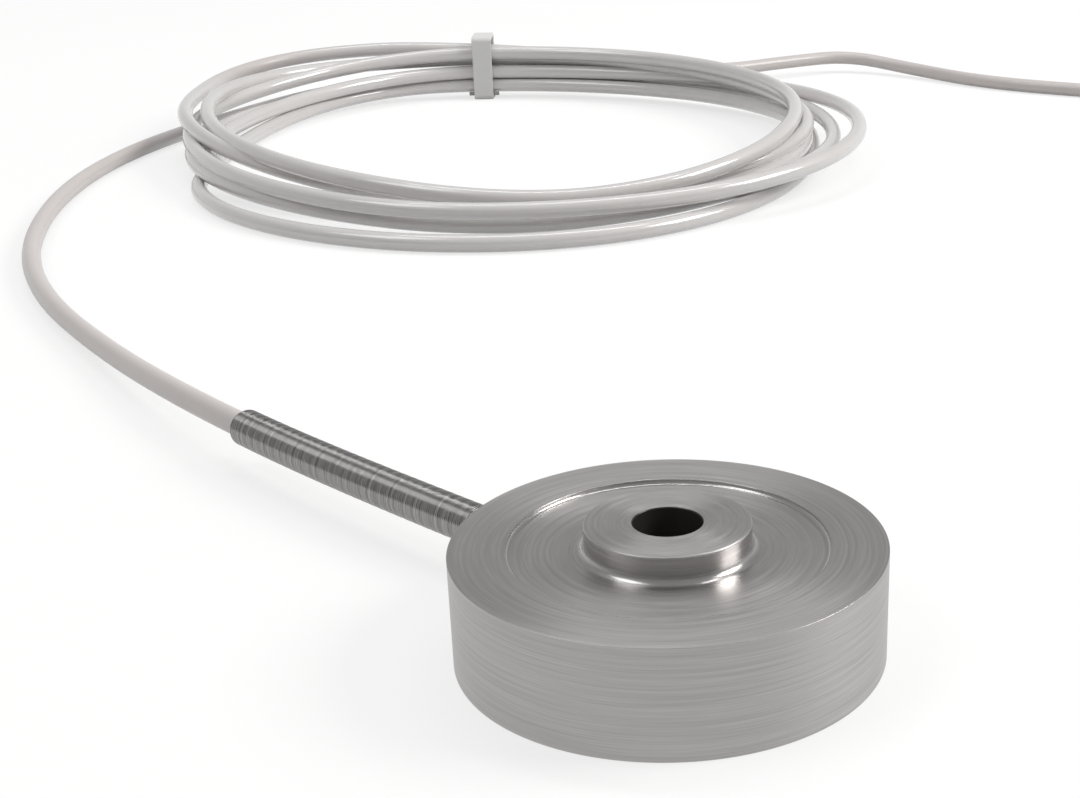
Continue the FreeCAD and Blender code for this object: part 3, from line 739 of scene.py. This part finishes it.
def build_disc():
    """Turned body with its button, recess, bore and sealed chamber."""
    size = sizes()
    edge = size.edge_break / MM
    outer = OUTER_RADIUS / MM
    top = BUTTON_TOP / MM
    corners = [
        (BORE_RADIUS, CORE_LIFT, edge),
        (CORE_RADIUS, CORE_LIFT, 0.0),
        (CORE_RADIUS, CHAMBER_ROOF, 0.0),
        (CHAMBER_RADIUS, CHAMBER_ROOF, 0.0),
        (CHAMBER_RADIUS, BOARD_SEAT_HEIGHT, 0.0),
        (BOARD_SEAT_RADIUS, BOARD_SEAT_HEIGHT, 0.0),
        (BOARD_SEAT_RADIUS, COVER_SEAT_HEIGHT, 0.0),
        (COVER_SEAT_RADIUS, COVER_SEAT_HEIGHT, 0.0),
        (COVER_SEAT_RADIUS, 0.0, 0.0),
        (outer, 0.0, edge),
        (outer, RIM_TOP, RIM_EDGE),
        (RECESS_RADIUS, RIM_TOP, RECESS_EDGE),
        (RECESS_RADIUS, RECESS_FLOOR, size.recess_fillet / MM),
        (BUTTON_RADIUS, RECESS_FLOOR, size.button_fillet / MM),
        (BUTTON_RADIUS, top, edge),
        (BORE_RADIUS, top, edge),
    ]
    outline = [p * MM for p in rounded_profile(corners)]
    steel = turned_steel()
    disc = mesh_object("turned_disc", lathe(outline, size.lathe_steps), steel)
    outside = OUTER_RADIUS + 1.0 * MM
    drilled(disc, PORT_RADIUS * MM, PORT_FROM * MM, outside)
    drilled(disc, SOCKET_RADIUS * MM, SPRING_FROM, outside)
    dress(disc, steel, 30.0)
    place_piece(disc, "turned_steel", "sensor_body")


def build_spring():
    """Close-wound spring: one fine wire wound round the cable's own line."""
    size = sizes()
    pitch = size.winding_pitch
    wire = pitch * WIRE_FULLNESS
    coil_radius = size.spring_diameter / 2.0 - wire
    line = route_line()
    start = SPRING_FROM - JACKET_END + wire
    finish = SPRING_TO - JACKET_END - wire
    turns = (finish - start) / pitch
    count = int(turns * size.winding_steps)
    distances = [start + (finish - start) * n / count for n in range(count + 1)]
    places = walk(line, distances)
    curve = bpy.data.curves.new("relief_windings", "CURVE")
    curve.dimensions = "3D"
    curve.bevel_depth = wire
    curve.bevel_resolution = 2
    curve.use_fill_caps = True
    spline = curve.splines.new("POLY")
    spline.points.add(count)
    for number, (place, heading) in enumerate(places):
        side = heading.cross(Vector((0.0, 0.0, 1.0))).normalized()
        up = side.cross(heading)
        angle = 2.0 * math.pi * number / size.winding_steps
        spoke = side * math.cos(angle) + up * math.sin(angle)
        spline.points[number].co = (*(place + spoke * coil_radius), 1.0)
    helper = link(bpy.data.objects.new("relief_windings", curve))
    mesh = bpy.data.meshes.new_from_object(helper)
    bpy.data.objects.remove(helper)
    spring = link(bpy.data.objects.new("relief_windings", mesh))
    dress(spring, drawn_wire(), 60.0)
    return place_piece(spring, "spring_wire", "relief_spring")


def build_cable(spring, tie):
    """Whole cable as one smooth cord, from inside the disc to its stripped end."""
    curve = route_curve("sensor_cable")
    curve.bevel_depth = sizes().cable_diameter / 2.0
    curve.bevel_resolution = 5
    curve.use_fill_caps = True
    cable = link(bpy.data.objects.new("sensor_cable", curve))
    curve.materials.append(jacket_plastic())
    place_piece(cable, "cable_jacket", "cable_lead", "cable_coil", "cable_tail")
    line = route_line()
    nodes = frame["nodes"]
    on_it = [spring, tie, nodes["tie_lock_pin"], nodes["end_sleeve"], nodes["screen_lead"]]
    on_it += [nodes["end_lead_" + name] for name in CORE_COLOURS]


def band_outline(first, last, inset, radius):
    """Rounded box round the strands, seen along the cable and set in from the band's outside."""
    front, low_edge = first.y + inset, first.z + inset
    back, high_edge = last.y - inset, last.z - inset
    return rounded_profile([
        (front, low_edge, radius), (back, low_edge, radius),
        (back, high_edge, radius), (front, high_edge, radius)], 6)


def build_tie():
    """Flat band closed round the stacked strands."""
    first = low("coil_tie")
    last = high("coil_tie")
    outer = band_outline(first, last, 0.0, TIE_OUTER_CORNER)
    painted_dark_bore = band_outline(first, last, TIE_THICKNESS, TIE_INNER_CORNER)
    bm = bmesh.new()
    loops = []
    for side in (first.x, last.x):
        for loop in (outer, painted_dark_bore):
            loops.append([bm.verts.new((side, p.x, p.y)) for p in loop])
    left_out, left_in, right_out, right_in = loops
    count = len(left_out)
    for index in range(count):
        other = (index + 1) % count
        bm.faces.new((left_out[index], left_out[other], right_out[other], right_out[index]))
        bm.faces.new((left_in[index], right_in[index], right_in[other], left_in[other]))
        bm.faces.new((left_out[index], left_in[index], left_in[other], left_out[other]))
        bm.faces.new((right_out[index], right_out[other], right_in[other], right_in[index]))
    bmesh.ops.recalc_face_normals(bm, faces=bm.faces)
    rims = [e for e in bm.edges if e.calc_face_angle(0.0) > math.radians(80.0)]
    bmesh.ops.bevel(bm, geom=rims, offset=sizes().tie_edge, segments=2, affect="EDGES")
    tie = mesh_object("tie_band", bm, nylon("tie_nylon", colours().tie), 40.0)
    return place_piece(tie, "tie_nylon", "coil_tie")


# Studio


# The photograph's own viewpoint, found from the disc's ellipses and edges
CAMERA_PLACE = (0.001226, -0.145456, 0.07862)
CAMERA_PITCH = math.radians(22.1893)
CAMERA_ROLL = math.radians(-1.0158)
CAMERA_LENS = 58.958
CAMERA_SENSOR = 36.0
CAMERA_SHIFT = (-0.1296, 0.0519)


def build_camera():
    right = Vector((1.0, 0.0, 0.0))
    ahead = Vector((0.0, math.cos(CAMERA_PITCH), -math.sin(CAMERA_PITCH)))
    up = right.cross(ahead)
    side = right * math.cos(CAMERA_ROLL) + up * math.sin(CAMERA_ROLL)
    head = up * math.cos(CAMERA_ROLL) - right * math.sin(CAMERA_ROLL)
    data = bpy.data.cameras.new("camera")
    data.sensor_width = CAMERA_SENSOR
    data.lens = CAMERA_LENS
    data.shift_x, data.shift_y = CAMERA_SHIFT
    data.clip_start = 0.005
    data.clip_end = 50.0
    camera = link(bpy.data.objects.new("camera", data))
    turn = Matrix((side, head, -ahead)).transposed().to_4x4()
    camera.matrix_world = Matrix.Translation(CAMERA_PLACE) @ turn
    bpy.context.scene.camera = camera


def build_floor():
    """Round floor, a hair below the object so that the two don't share a plane."""
    bm = bmesh.new()
    bmesh.ops.create_circle(bm, cap_ends=True, segments=96, radius=6.0)
    floor = mesh_object("studio_floor", bm, studio_floor())
    floor.location.z = -0.02 * MM


def build_world():
    """Room that is white to the camera and darkens from the horizon upwards."""
    world = bpy.data.worlds.new("studio")
    bpy.context.scene.world = world
    world.use_nodes = True
    nodes = world.node_tree.nodes
    links = world.node_tree.links
    background = nodes["Background"]
    place = nodes.new("ShaderNodeTexCoord")
    axes = nodes.new("ShaderNodeSeparateXYZ")
    links.new(place.outputs["Generated"], axes.inputs["Vector"])
    fall = nodes.new("ShaderNodeMapRange")
    fall.interpolation_type = "SMOOTHSTEP"
    links.new(axes.outputs["Z"], fall.inputs["Value"])
    fall.inputs["From Min"].default_value = 0.05
    fall.inputs["From Max"].default_value = 0.5
    fall.inputs["To Max"].default_value = 0.4
    depth = nodes.new("ShaderNodeMapRange")
    depth.interpolation_type = "SMOOTHSTEP"
    links.new(axes.outputs["Y"], depth.inputs["Value"])
    depth.inputs["From Min"].default_value = -0.7
    depth.inputs["From Max"].default_value = 0.7
    depth.inputs["To Min"].default_value = 0.16
    depth.inputs["To Max"].default_value = 0.75
    links.new(depth.outputs["Result"], fall.inputs["To Min"])
    light_path = nodes.new("ShaderNodeLightPath")
    seen = nodes.new("ShaderNodeMix")
    seen.data_type = "FLOAT"
    links.new(light_path.outputs["Is Camera Ray"], seen.inputs["Factor"])
    links.new(fall.outputs["Result"], seen.inputs["A"])
    seen.inputs["B"].default_value = 1.0
    background.inputs["Color"].default_value = (1.0, 1.0, 1.0, 1.0)
    links.new(seen.outputs["Result"], background.inputs["Strength"])


def soft_box(name, place, target, size, power, tint=(1.0, 1.0, 1.0)):
    data = bpy.data.lights.new(name, "AREA")
    data.shape = "RECTANGLE"
    data.size = size[0]
    data.size_y = size[1]
    data.energy = power
    data.color = tint
    lamp = link(bpy.data.objects.new(name, data))
    lamp.location = place
    look = Vector(target) - Vector(place)
    lamp.rotation_euler = look.to_track_quat("-Z", "Y").to_euler()


def build_lamps():
    middle = (-0.03, 0.13, 0.0)
    soft_box("overhead_box", (0.05, 0.45, 1.1), middle, (1.0, 0.15), 3.0)
    soft_box("right_box", (0.85, 0.1, 0.65), middle, (0.5, 0.4), 6.8, (1.0, 0.985, 0.965))
    soft_box("left_box", (-0.6, -0.1, 0.95), middle, (0.5, 0.5), 2.2)


# Operators, one for each piece or group of like pieces


class LOADCELL_OT_stage(bpy.types.Operator):
    """Set up the floor, room, lamps and camera"""
    bl_idname = "load_cell.stage"
    bl_label = "Studio"

    def execute(self, context):
        context.scene.view_settings.view_transform = "Standard"
        build_camera()
        build_floor()
        build_world()
        build_lamps()
        return {"FINISHED"}


class LOADCELL_OT_cable(bpy.types.Operator):
    """Lay the cable with its bend relief spring and the coil's tie"""
    bl_idname = "load_cell.cable"
    bl_label = "Cable"

    def execute(self, context):
        spring = build_spring()
        tie = build_tie()
        dress_node("tie_lock_pin", nylon("pin_nylon", (0.34, 0.34, 0.345)))
        build_cable(spring, tie)
        return {"FINISHED"}


class LOADCELL_OT_disc(bpy.types.Operator):
    """Turn the steel disc with its load button"""
    bl_idname = "load_cell.disc"
    bl_label = "Disc"

    def execute(self, context):
        build_disc()
        dress_node("base_cover", plain_steel("cover_steel", (0.52, 0.51, 0.5)))
        dress_node("seal_ring", seal_rubber())
        return {"FINISHED"}


class LOADCELL_OT_gauges(bpy.types.Operator):
    """Finish the strain gauges and their fine wires"""
    bl_idname = "load_cell.gauges"
    bl_label = "Strain gauges"

    def execute(self, context):
        film = gauge_film()
        foil = plain_steel("gauge_foil", (0.6, 0.52, 0.4), 0.3)
        tinned = plain_steel("tinned_wire", (0.7, 0.7, 0.72), 0.26)
        for number in range(1, 5):
            dress_node("gauge_carrier_%d" % number, film)
            dress_node("gauge_grid_%d" % number, foil)
        for number in range(1, 9):
            dress_node("gauge_wire_%d" % number, tinned)
        return {"FINISHED"}


class LOADCELL_OT_board(bpy.types.Operator):
    """Finish the ring board with its resistors, joints and conductors"""
    bl_idname = "load_cell.board"
    bl_label = "Ring board"

    def execute(self, context):
        dress_node("circuit_board", board_mask())
        dress_node("crimp_sleeve", plain_steel("crimp_brass", (0.62, 0.46, 0.2), 0.32))
        ceramic = coloured_plastic("resistor_ceramic", (0.03, 0.03, 0.035), 0.45)
        solder = plain_steel("solder", (0.7, 0.71, 0.74), 0.24)
        for number in range(1, 5):
            dress_node("trim_resistor_%d" % number, ceramic)
            dress_node("solder_joint_%d" % number, solder)
        for name, colour in CORE_COLOURS.items():
            dress_node("core_wire_" + name, coloured_plastic("core_" + name, colour))
        return {"FINISHED"}


class LOADCELL_OT_stripped_end(bpy.types.Operator):
    """Finish the shrunk sleeve and the bare conductors at the cable's end"""
    bl_idname = "load_cell.stripped_end"
    bl_label = "Stripped end"

    def execute(self, context):
        dress_node("end_sleeve", coloured_plastic("shrink_sleeve", (0.03, 0.03, 0.032), 0.5))
        dress_node("screen_lead", plain_steel("screen_braid", (0.66, 0.66, 0.68), 0.3))
        for name, colour in CORE_COLOURS.items():
            dress_node("end_lead_" + name, end_insulation("end_" + name, colour))
        return {"FINISHED"}


OPERATORS = (
    LOADCELL_OT_stage,
    LOADCELL_OT_cable,
    LOADCELL_OT_disc,
    LOADCELL_OT_gauges,
    LOADCELL_OT_board,
    LOADCELL_OT_stripped_end,
)


class LOADCELL_PT_panel(bpy.types.Panel):
    bl_label = "Load Cell"
    bl_idname = "LOADCELL_PT_panel"
    bl_space_type = "VIEW_3D"
    bl_region_type = "UI"
    bl_category = "Load Cell"

    def draw(self, context):
        layout = self.layout
        for group in (context.scene.load_cell_sizes, context.scene.load_cell_colours):
            for name in group.__annotations__:
                layout.prop(group, name)
        for operator in OPERATORS:
            layout.operator(operator.bl_idname)


CLASSES = (LoadCellSizes, LoadCellColours, *OPERATORS, LOADCELL_PT_panel)


def register():
    for cls in CLASSES:
        bpy.utils.register_class(cls)
    bpy.types.Scene.load_cell_sizes = PointerProperty(type=LoadCellSizes)
    bpy.types.Scene.load_cell_colours = PointerProperty(type=LoadCellColours)


def unregister():
    del bpy.types.Scene.load_cell_colours
    del bpy.types.Scene.load_cell_sizes
    for cls in reversed(CLASSES):
        bpy.utils.unregister_class(cls)


def main():
    register()
    bpy.ops.load_cell.stage()
    bpy.ops.load_cell.cable()
    bpy.ops.load_cell.disc()
    bpy.ops.load_cell.gauges()
    bpy.ops.load_cell.board()
    bpy.ops.load_cell.stripped_end()
    bpy.context.view_layer.update()


if __name__ == "__main__":
    main()
